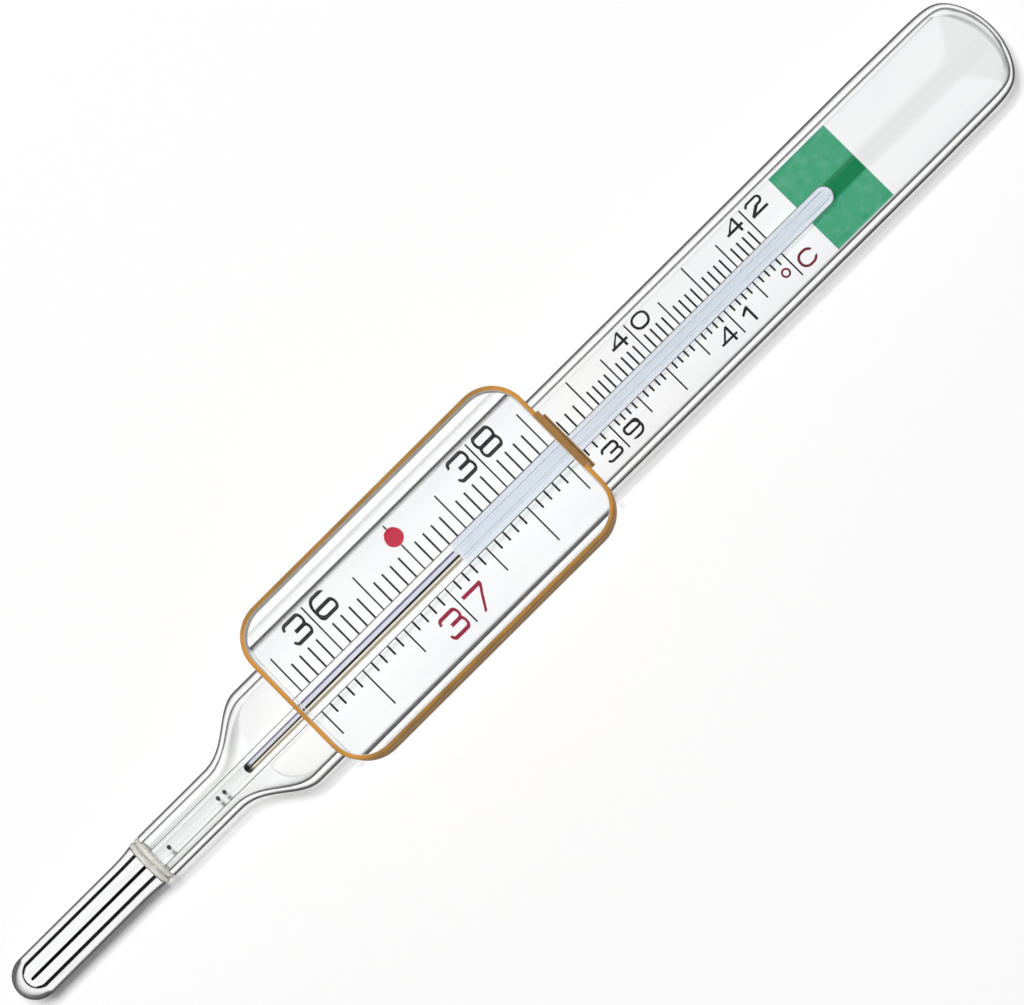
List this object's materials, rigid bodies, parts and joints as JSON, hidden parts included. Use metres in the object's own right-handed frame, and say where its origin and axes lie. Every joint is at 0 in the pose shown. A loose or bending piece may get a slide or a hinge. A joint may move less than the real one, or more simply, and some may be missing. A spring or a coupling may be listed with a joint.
{
  "type": "clinical thermometer",
  "caption": "Glass clinical thermometer with an enclosed printed scale, metal-filled bulb and capillary, and an orange-framed bar magnifier that slides along its oval barrel.",
  "frame": {"origin": "middle of the object's box, on the flat back of the barrel", "axes": "+X along the stem from the bulb to the closed top end, +Z out of the scale face towards the lens"},
  "size_m": [0.127, 0.018, 0.0138],
  "materials": {
    "sheath_glass": "clear, polished",
    "weld_glass": "fused, faintly yellow",
    "bulb_glass": "clear, polished",
    "capillary_glass": "clear, polished",
    "liquid_metal": "bright liquid metal",
    "plate_white": "milk white, satin",
    "band_green": "printed, satin",
    "ink_black": "printed",
    "ink_red": "printed",
    "lens_clear": "clear acrylic, polished",
    "frame_orange": "moulded, glossy",
    "saddle_clear": "clear acrylic, polished",
    "pad_silicone": "translucent silicone",
    "spring_bronze": "rolled bronze strip"
  },
  "bodies": {
    "thermometer": {"glass_sheath": "sheath_glass", "end_seal": "sheath_glass", "weld_collar": "weld_glass", "bulb_glass": "bulb_glass", "bulb_liquid": "liquid_metal", "constriction_pin": "bulb_glass", "capillary_tube": "capillary_glass", "liquid_beads": "liquid_metal", "scale_plate": "plate_white", "colour_band": "band_green", "black_scale_print": "ink_black", "red_scale_print": "ink_red"},
    "thread": {"liquid_thread": "liquid_metal", "thread_tip": "liquid_metal"},
    "magnifier": {"magnifier_lens": "lens_clear", "lens_frame": "frame_orange", "lens_bezel": "frame_orange", "upper_saddle": "saddle_clear", "lower_saddle": "saddle_clear", "upper_saddle_pad": "pad_silicone", "lower_saddle_pad": "pad_silicone", "friction_spring": "spring_bronze"}
  },
  "joints": [
    {"name": "column_rise", "type": "slide", "parent": "thermometer", "child": "thread", "axis": [1, 0, 0], "range_m": [-0.0192, 0.0407], "deforming": ["liquid_thread"]},
    {"name": "magnifier_slide", "type": "slide", "parent": "thermometer", "child": "magnifier", "axis": [1, 0, 0], "range_m": [-0.0033, 0.0505]}
  ]
}
